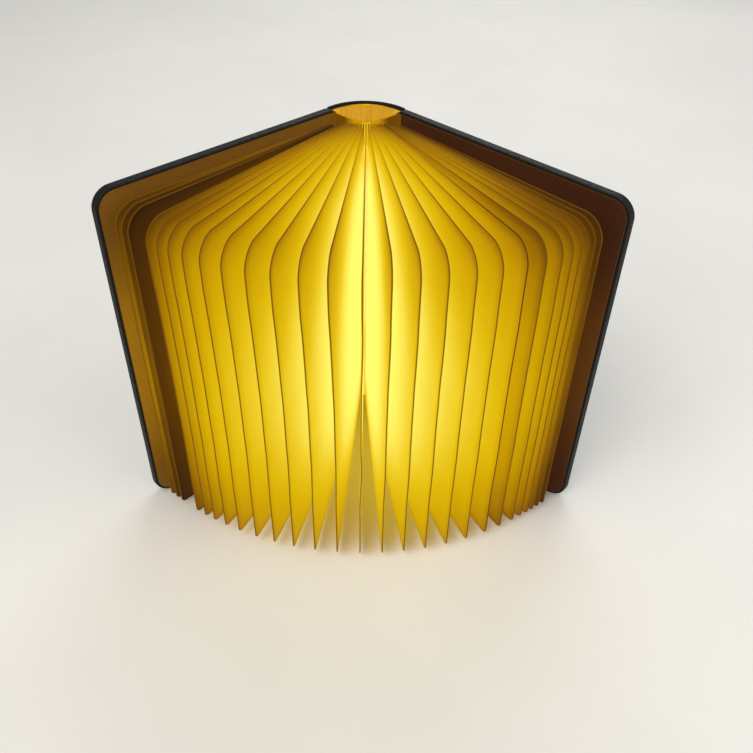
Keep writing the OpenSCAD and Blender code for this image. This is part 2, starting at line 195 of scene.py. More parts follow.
def makePiece(name, points, faces, paint, values=None):
    # points in millimetres (n, 3); faces is a list of index arrays (m, corners)
    mesh = bpy.data.meshes.new(name)
    mesh.vertices.add(len(points))
    mesh.vertices.foreach_set("co", (np.asarray(points, float) * mm).astype(np.float32).ravel())
    sizes = np.concatenate([np.full(len(f), f.shape[1]) for f in faces])
    corners = np.concatenate([f.ravel() for f in faces])
    mesh.loops.add(len(corners))
    mesh.loops.foreach_set("vertex_index", corners.astype(np.int32))
    mesh.polygons.add(len(sizes))
    mesh.polygons.foreach_set("loop_start", np.concatenate([[0], np.cumsum(sizes)[:-1]]).astype(np.int32))
    mesh.update(calc_edges=True)
    for key, value in (values or {}).items():
        layer = mesh.attributes.new(key, "FLOAT", "POINT")
        layer.data.foreach_set("value", np.asarray(value, np.float32).ravel())
    work = bmesh.new()
    work.from_mesh(mesh)
    bmesh.ops.remove_doubles(work, verts=work.verts, dist=meshValues["weld"])
    bmesh.ops.recalc_face_normals(work, faces=work.faces)
    if work.calc_volume(signed=True) < 0:
        bmesh.ops.reverse_faces(work, faces=work.faces)
    work.to_mesh(mesh)
    work.free()
    mesh.polygons.foreach_set("use_smooth", np.ones(len(mesh.polygons), bool))
    mesh.set_sharp_from_angle(angle=math.radians(meshValues["sharpAngle"]))
    mesh.materials.append(paint.material)
    piece = bpy.data.objects.new(name, mesh)
    bpy.context.scene.collection.objects.link(piece)
    return piece


def gridFaces(rows, columns, wrapped=False):
    # quads between neighbouring points of a rows x columns grid, its columns closed to a loop if wrapped
    columnEdges = np.arange(columns if wrapped else columns - 1)
    r, c = [a.ravel() for a in np.meshgrid(np.arange(rows - 1), columnEdges, indexing="ij")]
    r1, c1 = r + 1, (c + 1) % columns
    return np.stack([r * columns + c, r * columns + c1, r1 * columns + c1, r1 * columns + c], 1)


def tubeFaces(rows, loop):
    # a closed loop carried through rows of points, with a face across each end
    ends = [np.arange(loop)[None, :], (np.arange(loop) + (rows - 1) * loop)[None, :]]
    return [gridFaces(rows, loop, wrapped=True)] + ends


def turned(x, y, angle, axisX, axisY):
    # turned about the upright line at axisX, axisY: (x cos a - y sin a, x sin a + y cos a) from the axis
    c, s = math.cos(angle), math.sin(angle)
    return axisX + (x - axisX) * c - (y - axisY) * s, axisY + (x - axisX) * s + (y - axisY) * c


def roundOutline(u0, u1, v0, v1, rFore, rSpine, steps):
    # a rectangle with quarter circles in its corners: centre + r (cos a, sin a) for four quarters
    turns = np.linspace(0, math.pi / 2, steps)
    parts = []
    for cu, cv, r, start in ((u1 - rFore, v1 - rFore, rFore, 0), (u0 + rSpine, v1 - rSpine, rSpine, 1),
                             (u0 + rSpine, v0 + rSpine, rSpine, 2), (u1 - rFore, v0 + rFore, rFore, 3)):
        a = turns + start * math.pi / 2
        parts.append(np.stack([cu + r * np.cos(a), cv + r * np.sin(a)], 1))
    return np.concatenate(parts)


viewValues = {
    # the eye in mm, its turns about x, y and z in degrees from looking straight down, and its focal length
    # and frame width in picture points; sensor in mm, clip in metres
    "eye": (1.2176, -264.7410, 229.6265), "turn": (49.8627, -1.1310, -0.0042),
    "focal": 820.066, "frame": 753, "sensor": 36.0, "clip": (0.01, 50.0)}
lightValues = {
    "worldStrength": 0.40, "worldColour": (0.97, 0.985, 1.0, 1.0), "aim": (0, -30, 50),
    # name: place in mm, size in mm, watts, colour
    "lamps": {"keySoftbox": ((-420, -520, 760), 700, 6.2, (1.0, 0.985, 0.96)),
              "fillSoftbox": ((560, -260, 420), 600, 1.9, (0.95, 0.975, 1.0)),
              "backSoftbox": ((150, 620, 620), 600, 2.8, (0.96, 0.98, 1.0))}}
floorValues = {"half": 2600.0, "height": -0.05, "colour": (226, 223, 216), "dull": 0.94,
               "clouds": (9.0, 4.0, 0.6), "dullTo": 0.3, "baseFrom": 0.7,
               "grain": (420.0, 3.0), "relief": (0.15, 0.0004), "rough": 0.75}


def makeView():
    # the lens in mm = focal / frame * sensor
    v = viewValues
    camera = bpy.data.objects.new("viewCamera", bpy.data.cameras.new("viewCamera"))
    bpy.context.scene.collection.objects.link(camera)
    camera.data.sensor_width = v["sensor"]
    camera.data.lens = v["focal"] / v["frame"] * v["sensor"]
    camera.data.clip_start, camera.data.clip_end = v["clip"]
    turn = Euler([math.radians(angle) for angle in v["turn"]]).to_matrix().to_4x4()
    camera.matrix_world = Matrix.Translation(Vector(v["eye"]) * mm) @ turn
    bpy.context.scene.camera = camera


def makeLights():
    # a pale even sky, and soft square lamps turned to face one place in mm
    world = bpy.data.worlds.new("studio")
    world.use_nodes = True
    sky = world.node_tree.nodes["Background"]
    sky.inputs["Color"].default_value = lightValues["worldColour"]
    sky.inputs["Strength"].default_value = lightValues["worldStrength"]
    bpy.context.scene.world = world
    for name, (place, size, watts, colour) in lightValues["lamps"].items():
        lamp = bpy.data.lights.new(name, "AREA")
        lamp.size, lamp.energy, lamp.color = size * mm, watts, colour
        holder = bpy.data.objects.new(name, lamp)
        bpy.context.scene.collection.objects.link(holder)
        holder.location = [v * mm for v in place]
        aim = Vector(lightValues["aim"]) - Vector(place)
        holder.rotation_euler = aim.to_track_quat("-Z", "Y").to_euler()


def makeFloor():
    # a square sheet, its colour between base and dull * base in wide clouds
    v = floorValues
    paint = Paint("paleFloor", v["rough"])
    base = linear(*v["colour"])
    dull = tuple(c * v["dull"] for c in base[:3]) + (1.0,)
    paint.feed("Base Color", paint.noise(*v["clouds"]).ramp([(v["dullTo"], dull), (v["baseFrom"], base)]))
    paint.bump(paint.noise(*v["grain"]), *v["relief"])
    h, z = v["half"] * mm, v["height"] * mm
    mesh = bpy.data.meshes.new("paleFloor")
    mesh.from_pydata([(-h, -h, z), (h, -h, z), (h, h, z), (-h, h, z)], [], [(0, 1, 2, 3)])
    mesh.materials.append(paint.material)
    floor = bpy.data.objects.new("paleFloor", mesh)
    bpy.context.scene.collection.objects.link(floor)


bpy.context.scene.view_settings.view_transform = "Standard"
makeView()
makeLights()
makeFloor()
print("camera, lights and floor are in place")

# a leaf turns by its ratio of its cover's angle; a cover stands restOpen from shut, in radians, on a
# hinge at hingeX, hingeY in mm (the left one mirrored)
joints = {j["name"]: j for j in frame["joints"]}
ratios = {c["joint"]: c["ratio"] for c in frame["record"]["behaviour"]["couplings"]}
restOpen = math.radians(-joints["right_cover_hinge"]["range_deg"][0])
hingeX, hingeY = [v / mm for v in joints["right_cover_hinge"]["pos_m"][:2]]

leafValues = {
    "pitch": 0.62, "rootY": 8.8, "length": 81.0, "foot": 2.0, "top": 119.0, "corner": 7.5, "footCorner": 2.0,
    "half": 0.2, "foldHalf": 0.24, "foldReach": 1.2,       # half thickness, and in the fold
    # sideways waves: size, pitch up the leaf, phase, and phase for each mm out from the root
    "waves": ((0.07, 47.0, 1.1, 0.011), (0.03, 25.5, 2.4, 0.021), (0.012, 12.5, 0.4, -0.03)),
    "own": 0.15, "ownStep": 2.3, "ownPhase": 0.7,          # how far each leaf's waves differ from the next
    "middle": 1.9,                                         # and how much larger the middle leaf's are
    "bendPower": 1.5,
    "lean": (1.1,) * 7 + (1.02, 0.93, 0.84, 0.75, 0.66, 0.57),    # left leaves lean out at the top
    "leanFrom": 62.0, "leanTo": 108.0,
    # each leaf reaches back over the light bar at its top
    "backFrom": 111.2, "backStep": 0.15, "back": (4.5,) * 6 + (3.8, 3.0, 2.0, 1.2, 0.8, 0.8, 0.8),
    # grid places: distances in from the outline, and how many steps elsewhere
    "near": (0, 0.015, 0.05, 0.1, 0.17, 0.25, 0.4, 0.8, 1.6, 3.0, 5.0, 7.0, 10.0), "nearEdge": 6,
    "flatSteps": 16, "cornerSteps": 14, "upSteps": 34, "upFrom": 3.0, "upTo": 9.0}
glowValues = {
    "lampHeight": 60.0, "near": 32.5, "behind": -8.0,      # where the light seems to come from, in mm
    "headFrom": 108.0, "headTo": 122.0, "headDim": 0.08,   # a little dimmer towards the top
    "share": 0.8,                                          # part of the colour that shines by itself
    "reach": {"middle": 134,                               # brightness of each leaf, inner leaf first
              "left": (131, 135, 135, 134, 132, 129, 125, 120, 113, 107, 72, 87, 99),
              "right": (136, 137, 137, 135, 131, 125, 111, 115, 114, 113, 107, 98, 87)},
    "range": 2.0,
    # colour at each brightness
    "colours": [(0.15, (30, 14, 7)), (0.45, (50, 27, 11)), (0.65, (93, 57, 7)), (0.75, (135, 91, 6)),
                (0.85, (173, 126, 5)), (0.95, (199, 155, 4)), (1.05, (217, 177, 5)), (1.15, (231, 195, 17)),
                (1.25, (243, 212, 46)), (1.35, (251, 229, 82)), (1.5, (254, 244, 106)),
                (1.75, (255, 253, 118))],
    # noise: scale, detail, roughness; and how much it changes the brightness
    "clouds": (0.035, 4.0, 0.55), "cloudShare": 0.10, "fibres": (0.9, 5.0, 0.65), "fibreShare": 0.05,
    "fibreStretch": (0.35, 1.0, 1.0), "leafStep": 3.0,     # each leaf cuts the noise at its own place
    "fibreRelief": 0.5, "relief": (0.25, 0.0003), "rough": 0.62, "gloss": 0.06,
    # the fold line: rim and rimDim paint a highlight on its outer half, shade and dark paint shade on its inner
    # half
    "rim": (238, 196, 84), "rimDim": (80, 44, 7), "shade": (116, 82, 6), "dark": (78, 38, 6),
    "rimSpan": (0.15, 0.32), "rimRoot": 0.25, "rimFrom": 4.0, "rimTo": 66.0,    # the fold line, in mm
    "rimGain": 1.6, "rimLess": 0.8,                        # its painted highlight brightens with the leaf's painted glow
    "lineSpan": (-0.85, -0.35), "softSpan": (-0.9, -0.3), "softPale": 0.4, "softBrown": 0.45,
    "deepFold": 6, "paintedShade": 1.0, "plain": 0.25,             # the right leaf with the darkest painted shade on its fold line
    "foldShade": 0.07, "shoulderReach": 3.6, "shoulderSide": 0.6}    # painted shade: the inner face darkens towards the fold


def lampGlow(along, up, reach):
    # reach d / (d^2 + (z - lamp)^2), d = distance from the root + near, less a little at the head
    v = glowValues
    d = along.most(v["behind"]) + v["near"]
    rise = up - v["lampHeight"]
    return reach * d / (d * d + rise * rise) * (1.0 - up.between(v["headFrom"], v["headTo"]) * v["headDim"])


def cornerDistance(r, qx, qy):
    # distance inwards from a round corner's outline: r - |max(q, 0)| - min(max(qx, qy), 0),
    # q = how far past the corner's centre
    ox, oy = qx.most(0.0), qy.most(0.0)
    return r - (ox * ox + oy * oy).root() - qx.most(qy).least(0.0)


def edgeDistance(along, up):
    # distance inwards from the leaf's outline, the root edge left out: the less of its top and its foot
    v = leafValues
    head = cornerDistance(v["corner"], along - (v["length"] - v["corner"]), up - (v["top"] - v["corner"]))
    foot = cornerDistance(v["footCorner"], along - (v["length"] - v["footCorner"]),
                          v["foot"] + v["footCorner"] - up)
    return head.least(foot)


def leafPaint():
    # brightness = painted lamp glow * (1 + clouds + fibres - painted shade by the fold), turned into a colour by a
    # ramp;
    # the fold line is painted: painted shade (brown) on its inner half, a painted highlight (pale) on its outer
    # half, fading towards the root
    v = glowValues
    paint = Paint("litLeafPaper", v["rough"], v["gloss"])
    along, up = paint.attribute("alongLeaf"), paint.attribute("upLeaf")
    reach, fold = paint.attribute("leafReach"), paint.attribute("acrossFold")
    sheet = paint.join(along, up, reach * v["leafStep"])
    clouds = paint.noise(*v["clouds"], sheet)
    fibres = paint.noise(*v["fibres"], paint.stretched(v["fibreStretch"], sheet))
    edge = edgeDistance(along, up)
    # painted shade on the inner face near the fold
    foldShade = (1.0 - edge.between(0.0, v["shoulderReach"])) * fold.between(0.0, v["shoulderSide"])
    uneven = (clouds - 0.5) * v["cloudShare"] + (fibres - 0.5) * v["fibreShare"]
    glow = lampGlow(along, up, reach) * (1.0 + uneven - foldShade * v["foldShade"])
    colour = (glow / v["range"]).ramp([(p / v["range"], linear(*c)) for p, c in v["colours"]])
    fade = v["rimRoot"] + along.between(v["rimFrom"], v["rimTo"]) * (1 - v["rimRoot"])
    rim = (1.0 - edge.between(*v["rimSpan"])) * fade
    # painted highlight on the fold's outer half, painted shade (brown) on its inner half
    pale = paint.mix((glow * v["rimGain"] - v["rimLess"]).clamped(), linear(*v["rimDim"]), linear(*v["rim"]))
    brown = paint.mix(paint.attribute("foldDepth"), linear(*v["shade"]), linear(*v["dark"]))
    line = paint.mix(fold.between(*v["lineSpan"]), pale, brown)
    soft = rim * (v["softPale"] + fold.between(*v["softSpan"]) * v["softBrown"])
    shineThrough(paint, v["share"], paint.mix(soft, colour, line))
    paint.bump(fibres * v["fibreRelief"] + clouds * (1 - v["fibreRelief"]), *v["relief"])
    return paint


def smooth(value, low, high):
    # t^2 (3 - 2 t), t = (value - low) / (high - low) held to 0..1
    t = np.clip((value - low) / (high - low), 0, 1)
    return t * t * (3 - 2 * t)


def leafBend(along, up, number, side):
    # (u / length)^bendPower * (own * sum of a sin(2 pi z / pitch + phase + k u), less the lean on the left)
    v = leafValues
    own = 1 + v["own"] * math.sin(v["ownStep"] * number * side + v["ownPhase"]) if side else v["middle"]
    bend = sum(a * own * np.sin(2 * math.pi * up / pitch + phase + k * along)
               for a, pitch, phase, k in v["waves"])
    if side < 0:
        bend = bend - v["lean"][number - 1] * smooth(up, v["leanFrom"], v["leanTo"])
    return bend * (np.clip(along, 0, None) / v["length"]) ** v["bendPower"]


def leafGrid():
    # steps out along one face, round the fold and back along the other, the face at each (1, 0, -1),
    # and the heights; both crowd where the outline is near
    v = leafValues
    near = np.array(v["near"])
    flat = np.linspace(0, 1 - near[-1] / v["length"], v["flatSteps"])[:-1]
    out = np.concatenate([flat, 1 - near[::-1] / v["length"]])
    across = np.concatenate([out, out[::-1][1:]])
    face = np.concatenate([np.ones(len(out) - 1), [0], -np.ones(len(out) - 1)])
    turns = 1 - np.cos(np.linspace(0, math.pi / 2, v["cornerSteps"])[1:])
    edge = near[:v["nearEdge"]]
    up = np.unique(np.round(np.concatenate([
        v["foot"] + edge, v["foot"] + v["footCorner"] * turns,
        np.linspace(v["foot"] + v["upFrom"], v["top"] - v["upTo"], v["upSteps"]),
        v["backFrom"] + np.array([-v["backStep"], v["backStep"]]),
        v["top"] - v["corner"] * turns, v["top"] - edge]), 5))
    return across, face, up


def leafSheet(number):
    # distance out u and height z over the grid, the face, and thick = sqrt(1 - (1 - d / h)^2) within h
    # of the outline, d the edge distance and h the half thickness
    v = leafValues
    across, face, up = leafGrid()
    z, s = np.meshgrid(up, across, indexing="ij")
    corners = [(v["corner"], z - (v["top"] - v["corner"])),
               (v["footCorner"], v["foot"] + v["footCorner"] - z)]
    end = np.minimum(*[v["length"] - r + np.sqrt(np.maximum(r ** 2 - np.maximum(past, 0) ** 2, 0))
                       for r, past in corners])
    step = smooth(z, v["backFrom"] - v["backStep"], v["backFrom"] + v["backStep"])
    start = -v["back"][max(number - 1, 0)] * step
    u = start + s * (end - start)
    d = np.minimum(*[r - np.hypot(np.maximum(u - v["length"] + r, 0), np.maximum(past, 0))
                     - np.minimum(np.maximum(u - v["length"] + r, past), 0) for r, past in corners])
    fold = np.exp(-((v["length"] - u) / v["foldReach"]) ** 2)
    h = v["half"] + (v["foldHalf"] - v["half"]) * fold
    thick = np.sqrt(np.clip(1 - (1 - np.clip(np.clip(d, 0, None) / h, 0, 1)) ** 2, 0, 1))
    return u, z, np.broadcast_to(face, z.shape), thick, h


def makeLeaf(name, body, node, number, side, fan, axis, reach, paint):
    # shut, x = side * number * pitch + bend + face * thick * h and y = -root - u; then the leaf is
    # turned through its share of the cover's angle about its own upright line
    v = leafValues
    u, z, face, thick, h = leafSheet(number)
    x = side * number * v["pitch"] + leafBend(u, z, number, side) + face * thick * h
    y = -v["rootY"] - u
    if side:
        x, y = turned(x, y, side * fan, axis[0] / mm, axis[1] / mm)
    n, m = z.shape
    r = np.arange(n - 1)
    rootEdge = np.stack([r * m, (r + 1) * m, (r + 1) * m + m - 1, r * m + m - 1], 1)
    # painted shade on the fold line, darkest on one right leaf
    paintedShade = glowValues["paintedShade"] if side > 0 and number == glowValues["deepFold"] else glowValues["plain"]
    piece = makePiece(name, np.stack([x, y, z], -1).reshape(-1, 3), [gridFaces(n, m), rootEdge], paint, {
        "alongLeaf": u, "upLeaf": z, "leafReach": np.full(z.shape, reach),
        "foldDepth": np.full(z.shape, paintedShade), "acrossFold": (-side if side else 1) * face * thick})
    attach(piece, body)
    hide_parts(node)


paper = leafPaint()
makeLeaf("centreLeaf", "spine_unit", "leaf_centre", 0, 0, 0.0, None, glowValues["reach"]["middle"], paper)
for word, side in (("left", -1), ("right", 1)):
    for number, reach in enumerate(glowValues["reach"][word], 1):
        joint = f"{word}_leaf_{number:02d}_fold"
        makeLeaf(f"{word}Leaf{number:02d}", f"{word}_leaf_{number:02d}", f"leaf_{word}_{number:02d}",
                 number, side, ratios[joint] * restOpen, joints[joint]["pos_m"], reach, paper)
print("27 leaves fan out around the light bar")

coverValues = {
    # the shut cover in mm: inner and outer face in x, spine edge in y, and its outline
    "inner": 9.0, "outer": 12.5, "edgeY": 3.3, "width": 88.5, "height": 122.0,
    "foreCorner": 6.5, "spineCorner": 1.5, "foreLeast": 0.4, "spineLeast": 0.3,
    "round": 1.05, "innerRound": 0.55,                     # radius of the outer and the inner edge
    # the leather turns in round the endpaper: how far, its step down to the bed, and where the faces end
    "turnIn": 0.8, "stepIn": (0.04, 0.14), "stepDown": 0.04, "bedX": 9.47, "bedIn": 7.5, "backIn": 3.0,
    "cornerSteps": 14, "edgeSteps": 7,
    "wearFrom": 6, "wearReach": 2.2,                       # rubbed along the outer edge, in profile steps
    "leather": (8, 7, 8), "worn": (24, 21, 20),
    "pebbles": 1050.0, "creases": (300.0, 5.0, 0.62), "creaseTwist": 0.6, "fine": (2600.0, 3.0, 0.6),
    "patches": (30.0, 4.0, 0.6), "patchSpan": (0.45, 0.7), "highCreases": (0.55, 0.7),
    "rubbedLeast": 0.35, "rubbedSpan": (0.35, 0.65),       # the rubbed edge is broken up by the creases
    # how much each wears the colour, then how much each roughens and raises the surface
    "patchWear": 0.4, "creaseWear": 0.5, "pebbleWear": 0.5, "rubbedWear": 0.6,
    "rough": 0.44, "patchRough": 0.16, "pebbleRough": 0.14,
    "pebbleRelief": 0.6, "creaseRelief": 0.6, "fineRelief": 0.15, "relief": (0.85, 0.0004), "gloss": 0.2}
endpaperValues = {
    "inset": 0.9, "share": 0.6,
    # painted lamp glow: dark and bright colours; the right endpaper is painted darker, as less of the lamp's light
    # reaches it
    "left": ((108, 70, 17), (160, 115, 18)), "right": ((58, 27, 12), (88, 52, 16)),
    "edge": (106, 72, 24), "edgeSpan": (0.05, 0.4), "edgeShare": 0.35,
    # brightest between the heights where it has risen and where it starts to fall
    "rise": (0.0, 55.0), "fall": (70.0, 114.0), "bright": 0.85, "least": 0.1,
    "fibres": (900.0, 5.0, 0.65), "fibreShare": 0.25, "clouds": (40.0, 3.0), "cloudShare": 0.3,
    "relief": (0.2, 0.0002), "rough": 0.6, "gloss": 0.15}


def leatherPaint():
    # grain = pebbles + creases + fine noise, each times its share; worn in patches, where creases and
    # pebbles are high, and on edges
    v = coverValues
    paint = Paint("blackLeather", v["rough"], v["gloss"])
    pebbles = paint.cells(v["pebbles"])
    creases = paint.noise(*v["creases"], distortion=v["creaseTwist"])
    fine = paint.noise(*v["fine"])
    patches = paint.noise(*v["patches"])
    broken = v["rubbedLeast"] + creases.between(*v["rubbedSpan"]) * (1 - v["rubbedLeast"])
    rubbed = paint.attribute("edgeWear") * broken
    worn = patches.between(*v["patchSpan"]) * v["patchWear"]
    worn = worn + creases.between(*v["highCreases"]) * v["creaseWear"]
    worn = (worn + (pebbles - 0.5) * v["pebbleWear"] + rubbed * v["rubbedWear"]).clamped()
    paint.feed("Base Color", paint.mix(worn, linear(*v["leather"]), linear(*v["worn"])))
    paint.feed("Roughness", v["rough"] + patches * v["patchRough"] + pebbles * v["pebbleRough"])
    paint.bump(pebbles * v["pebbleRelief"] + creases * v["creaseRelief"] + fine * v["fineRelief"],
               *v["relief"])
    return paint


def coverProfile():
    # (inset, x) from the bed under the endpaper, over the turned-in leather's step, round the inner edge,
    # round the outer edge and back in over the outer face
    v = coverValues
    quarter = np.linspace(0, math.pi / 2, v["edgeSteps"])
    q, r, (lip, rest) = v["innerRound"], v["round"], v["stepIn"]
    inset = np.concatenate([
        [v["bedIn"], v["turnIn"], v["turnIn"] - lip, v["turnIn"] - rest],
        q - q * np.sin(quarter), r - r * np.cos(quarter), [v["backIn"], v["bedIn"]]])
    x = np.concatenate([
        [v["bedX"], v["bedX"], v["inner"] + v["stepDown"], v["inner"]],
        v["inner"] + q - q * np.cos(quarter), v["outer"] - r + r * np.sin(quarter), [v["outer"]] * 2])
    return inset, x


def makeCover(word, side, paint):
    # the profile carried round the cover's outline, turned out to where the cover stands
    v = coverValues
    inset, x = coverProfile()
    rings = np.stack([roundOutline(i, v["width"] - i, i, v["height"] - i,
                                   max(v["foreCorner"] - i, v["foreLeast"]),
                                   max(v["spineCorner"] - i, v["spineLeast"]), v["cornerSteps"])
                      for i in inset])
    n, m = rings.shape[:2]
    px, py = turned(np.repeat(x[:, None], m, 1), -v["edgeY"] - rings[..., 0], restOpen, hingeX, hingeY)
    points = np.stack([side * px, py, rings[..., 1]], -1).reshape(-1, 3)
    wear = np.exp(-((np.arange(n) - n + v["wearFrom"]) / v["wearReach"]) ** 2)
    piece = makePiece(f"{word}CoverLeather", points, tubeFaces(n, m), paint, {"edgeWear": np.repeat(wear, m)})
    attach(piece, f"{word}_cover")
    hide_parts(f"{word}_cover_skin")


def endpaperPaint(word, side):
    # the object's place turned back to the shut cover: u = distance from the spine edge, z = height;
    # painted lamp glow from dark to bright with the height, and a line along the outline
    v, c = endpaperValues, coverValues
    paint = Paint(f"{word}EndpaperGlow", v["rough"], v["gloss"])
    x, y, z = paint.axes()
    x, y, z = x * (side / mm), y / mm, z / mm
    u = (x - hingeX) * math.sin(restOpen) - y * math.cos(restOpen) - c["edgeY"]
    fibres = paint.noise(*v["fibres"])
    clouds = paint.noise(*v["clouds"])
    glow = z.between(*v["rise"]) * (1.0 - z.between(*v["fall"])) * v["bright"]
    glow = glow + (clouds - 0.5) * v["cloudShare"] + (fibres - 0.5) * v["fibreShare"]
    colour = paint.mix((glow + v["least"]).clamped(), *[linear(*k) for k in v[word]])
    r = c["foreCorner"] - v["inset"]
    gap = cornerDistance(r, u - (c["width"] - v["inset"] - r),
                         abs(z - c["height"] / 2) - (c["height"] / 2 - v["inset"] - r))
    edge = (1.0 - gap.between(*v["edgeSpan"])) * v["edgeShare"]
    shineThrough(paint, v["share"], paint.mix(edge, colour, linear(*v["edge"])))
    paint.bump(fibres, *v["relief"])
    return paint


def paintNode(node, paint):
    # a CAD piece keeps its shape and takes this material
    found = frame["nodes"][node]
    if found.material_slots:
        for place in found.material_slots:
            place.material = paint.material
    else:
        found.data.materials.append(paint.material)


leather = leatherPaint()
makeCover("left", -1, leather)
makeCover("right", 1, leather)
paintNode("right_endpaper", endpaperPaint("right", 1))
paintNode("left_endpaper", endpaperPaint("left", -1))
print("leather covers and endpapers are on")

stripValues = {
    # the lining ends a gap before the covers' corners, the strip laps on past them; bulge: how far its
    # arc stands out behind them
    "thick": 1.0, "gap": 0.3, "lap": 0.15, "round": 0.45, "bulge": 5.95,
    "edgeSteps": 5, "upSteps": 40, "arcSteps": 26}
liningValues = {
    "thick": 0.3, "gap": 0.3, "foot": 0.8, "top": 121.2, "upSteps": 30,
    "pleat": 1.15, "depth": 0.1, "arcSteps": 90,           # its small upright pleats
    # the lining turns in over the cover's spine edge: place in mm, innermost last
    "turnIn": ((11.72, 1.45), (11.1, 0.82), (10.5, 0.2), (10.19, -0.18), (10.12, -0.42), (10.24, -0.6),
               (10.42, -0.68), (11.53, -1.66)),
    "turnHalf": 0.1, "turnSteps": 12,
    "tapeHalf": 0.06, "tapeFoot": 22.0, "tapeTop": 100.0, "tapeBack": 0.8, "tapeLoop": 20, "tapeSteps": 24,
    # painted lamp light: bright and dim lining, the painted shade colour, and the bright middle
    "bright": (226, 172, 18), "dim": (184, 126, 8), "paintedShade": (92, 52, 6), "middle": (248, 204, 30),
    "share": 0.8, "liftFrom": 60.0, "liftSpan": 60.0, "liftDim": 0.35,
    "middleSpan": (0.7, 1.9), "middleShare": 0.85,         # painted light along the middle, in mm either side
    "sideSpan": (3.0, 8.0), "sideUp": (96.0, 112.0), "sideShare": 0.9,    # painted shade at the sides of the top
    "streaks": (1.0, 3.0, 0.6), "streakStretch": (900.0, 900.0, 14.0), "streakShare": 0.7,
    "fibres": (1400.0, 4.0, 0.65), "fibreShare": 0.3,
    "streakRelief": 0.6, "relief": (0.3, 0.0003), "rough": 0.6, "gloss": 0.1}
capValues = {
    "foot": 120.65, "thick": 0.45, "drop": 1.3, "room": 0.12, "arcSteps": 64, "acrossSteps": 12,
    # the cap closes the spine at the top; its front edge runs from the middle out to the tip
    "front": ((0, -4.3), (3.7, -3.5), (7.3, -1.3), (9.7, 0.3), (11.3, 1.3)),
    "scallop": 0.3, "scallops": 7, "share": 0.86,
    "bright": (222, 166, 8), "dim": (186, 124, 4), "tip": (214, 172, 50), "tipSpan": (8.2, 11.0),
    "streaks": (1.0, 3.0, 0.6), "streakStretch": (1100.0, 60.0, 60.0), "streakShare": 1.3,
    "fibres": (1400.0, 4.0, 0.65), "fibreShare": 0.4, "level": 0.55,    # before streaks
    "streakRelief": 0.7, "relief": (0.4, 0.0004), "rough": 0.6, "gloss": 0.05}


def spineArc():
    # the strip's arc through both covers' outer spine corners: r = (x^2 + bulge^2) / (2 bulge); gives a
    # corner's place, the arc's radius and centre, and the lining's half angle
    c, s = coverValues, stripValues
    cornerX, cornerY = turned(c["outer"], -c["edgeY"], restOpen, hingeX, hingeY)
    r = (cornerX * cornerX + s["bulge"] ** 2) / (2 * s["bulge"])
    return cornerX, cornerY, r, cornerY + s["bulge"] - r, math.asin(cornerX / r) - s["gap"] / r


def arcPath(radius, centre, half, steps):
    # (radius sin a, centre + radius cos a), with the outward direction at each place
    a = np.linspace(0, half, steps)
    out = np.stack([np.sin(a), np.cos(a)], 1)
    return radius * out + [0, centre], out


def ribbon(name, side, path, out, loop, paint):
    # a closed loop of (offset, z) carried along a path seen from above: point = path + out * offset
    place = path[:, None, :] + out[:, None, :] * loop[..., :1]
    z = np.broadcast_to(loop[..., 1], place.shape[:2])
    points = np.stack([side * place[..., 0], place[..., 1], z], -1).reshape(-1, 3)
    return makePiece(name, points, tubeFaces(*z.shape), paint)


def sheetLoop(inner, outer, low, high, steps):
    # up the outer side of a thin sheet and down its inner side
    z = np.linspace(low, high, steps)
    return np.concatenate([np.stack([np.full(steps, outer), z], 1),
                           np.stack([np.full(steps, inner), z[::-1]], 1)])


def stripLoop():
    # up the strip's outer side, over its top, down its inner side: quarter circles at the four edges
    s, top = stripValues, coverValues["height"]
    b, t = s["round"], s["thick"]
    quarter = np.linspace(0, math.pi / 2, s["edgeSteps"])
    sine, cosine = b * np.sin(quarter), b * np.cos(quarter)
    levels = np.linspace(b, top - b, s["upSteps"])[1:-1]
    return np.concatenate([
        np.stack([sine - b, b - cosine], 1), np.stack([levels * 0, levels], 1),
        np.stack([cosine - b, top - b + sine], 1), np.stack([b - sine - t, top - b + cosine], 1),
        np.stack([levels * 0 - t, levels[::-1]], 1), np.stack([b - cosine - t, b - sine], 1)])


def liningPaint():
    # painted lamp light: bright along the middle and dimmer upwards, with painted shade at the sides of its top;
    # upright streaks
    v = liningValues
    paint = Paint("litLining", v["rough"], v["gloss"])
    x, _, z = paint.axes()
    aside, up = abs(x) / mm, z / mm
    streaks = paint.noise(*v["streaks"], paint.stretched(v["streakStretch"]))
    fibres = paint.noise(*v["fibres"])
    # painted lamp light falls off upwards
    lift = ((up - v["liftFrom"]) / v["liftSpan"]).clamped() * v["liftDim"]
    uneven = (streaks - 0.5) * v["streakShare"] + (fibres - 0.5) * v["fibreShare"]
    colour = paint.mix((1.0 - lift + uneven).clamped(), linear(*v["dim"]), linear(*v["bright"]))
    middle = (1.0 - aside.between(*v["middleSpan"])) * v["middleShare"]
    colour = paint.mix(middle, colour, linear(*v["middle"]))
    # painted shade at the sides of the top
    paintedShade = aside.between(*v["sideSpan"]) * up.between(*v["sideUp"]) * v["sideShare"]
    shineThrough(paint, v["share"], paint.mix(paintedShade, colour, linear(*v["paintedShade"])))
    paint.bump(streaks * v["streakRelief"] + fibres * (1 - v["streakRelief"]), *v["relief"])
    return paint


